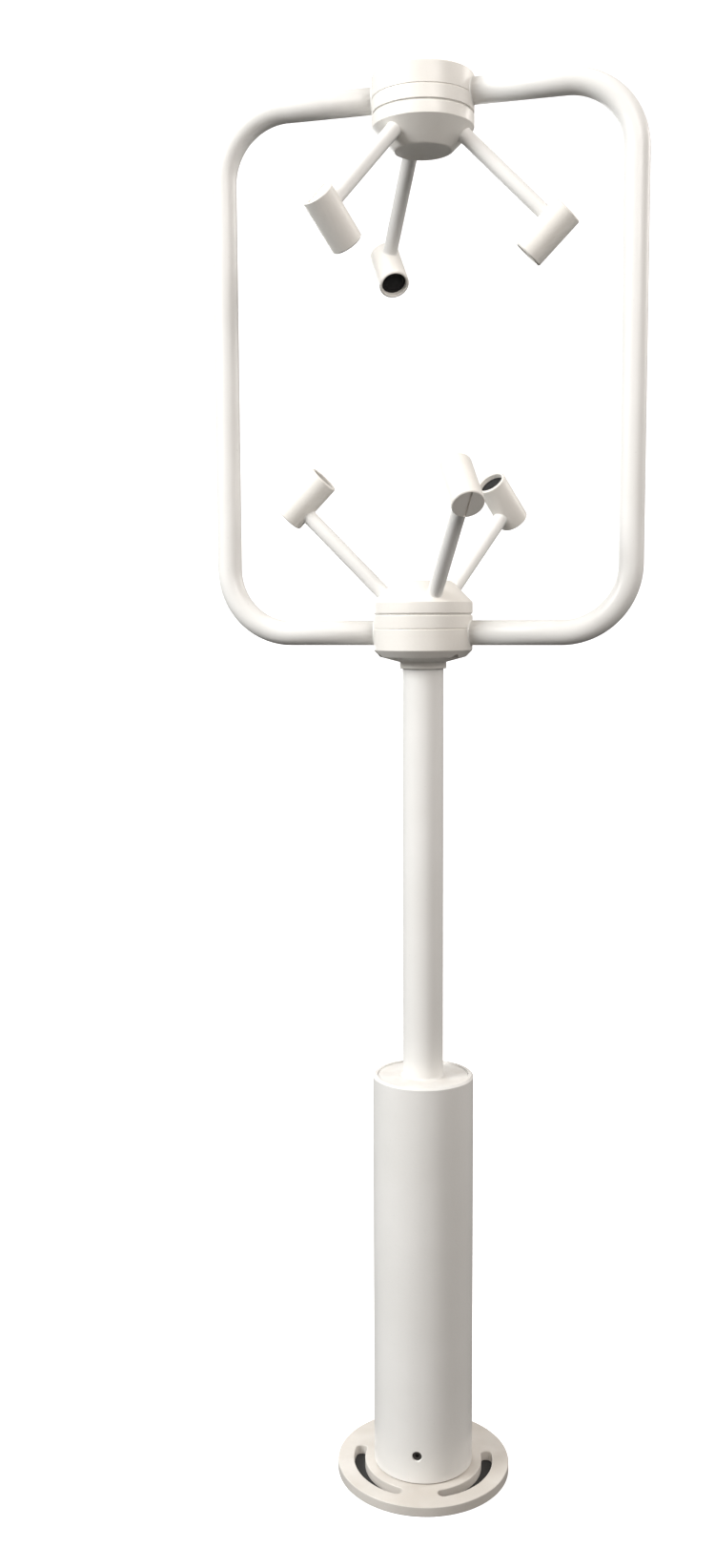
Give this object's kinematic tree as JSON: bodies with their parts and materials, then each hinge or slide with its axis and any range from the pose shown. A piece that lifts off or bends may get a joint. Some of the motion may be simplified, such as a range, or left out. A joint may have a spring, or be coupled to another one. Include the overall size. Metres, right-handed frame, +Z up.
{
  "type": "ultrasonic anemometer",
  "caption": "Three-axis ultrasonic wind sensor: opposed transducer heads on arms inside a tube loop, on a slim mast, an electronics housing and a slotted flange.",
  "frame": {"origin": "centre of the flange's underside", "axes": "+Z up along the mast; X along the plane of the frame loop; head pair number one lies in that plane"},
  "size_m": [0.263, 0.1618, 0.8596],
  "materials": {
    "white_coat": "satin",
    "stainless": "satin",
    "seal_rubber": "matte",
    "transducer_face": "matte",
    "nickel": "satin",
    "insulator": "matte",
    "contact_gold": "polished",
    "circuit_board": "satin",
    "component_plastic": "matte",
    "spacer_plastic": "matte",
    "ribbon_sheath": "matte",
    "cable_sheath": "matte"
  },
  "bodies": {
    "base": {"base_flange": "white_coat", "base_oring": "seal_rubber", "connector_shell": "nickel", "connector_insert": "insulator", "connector_pins": "contact_gold", "connector_nut": "nickel", "base_lead": "cable_sheath"},
    "instrument": {"housing_tube": "white_coat", "grub_screws": "stainless", "housing_cap": "white_coat", "cap_oring": "seal_rubber", "mast_tube": "white_coat", "mast_nut": "stainless", "chassis_rods": "stainless", "board_spacers": "spacer_plastic", "rod_nuts": "stainless", "board_upper": "circuit_board", "board_lower": "circuit_board", "components_upper": "component_plastic", "components_lower": "component_plastic", "board_ribbon": "ribbon_sheath", "lead_plug": "component_plastic", "lower_hub_body": "white_coat", "upper_hub_body": "white_coat", "lower_hub_dome": "white_coat", "upper_hub_dome": "white_coat", "lower_hub_gasket": "seal_rubber", "upper_hub_gasket": "seal_rubber", "lower_hub_screws": "stainless", "upper_hub_screws": "stainless", "upper_hub_lid": "white_coat", "lid_screws": "stainless", "frame_tube_right": "white_coat", "frame_tube_left": "white_coat", "frame_orings": "seal_rubber", "frame_set_screws": "stainless", "upper_head_1": "white_coat", "upper_head_2": "white_coat", "upper_head_3": "white_coat", "upper_transducer_1": "transducer_face", "upper_transducer_2": "transducer_face", "upper_transducer_3": "transducer_face", "upper_arm_1": "white_coat", "upper_arm_2": "white_coat", "upper_arm_3": "white_coat", "lower_head_1": "white_coat", "lower_head_2": "white_coat", "lower_head_3": "white_coat", "lower_transducer_1": "transducer_face", "lower_transducer_2": "transducer_face", "lower_transducer_3": "transducer_face", "lower_arm_1": "white_coat", "lower_arm_2": "white_coat", "lower_arm_3": "white_coat", "upper_back_plugs": "white_coat", "lower_back_plugs": "white_coat", "upper_leads": "cable_sheath", "lower_leads": "cable_sheath", "mast_loom": "cable_sheath", "loop_loom": "cable_sheath"}
  },
  "joints": [
    {"name": "north_setting", "type": "hinge", "parent": "base", "child": "instrument", "pos_m": [0, 0, 0], "axis": [0, 0, 1], "range_deg": [-170, 170]}
  ]
}
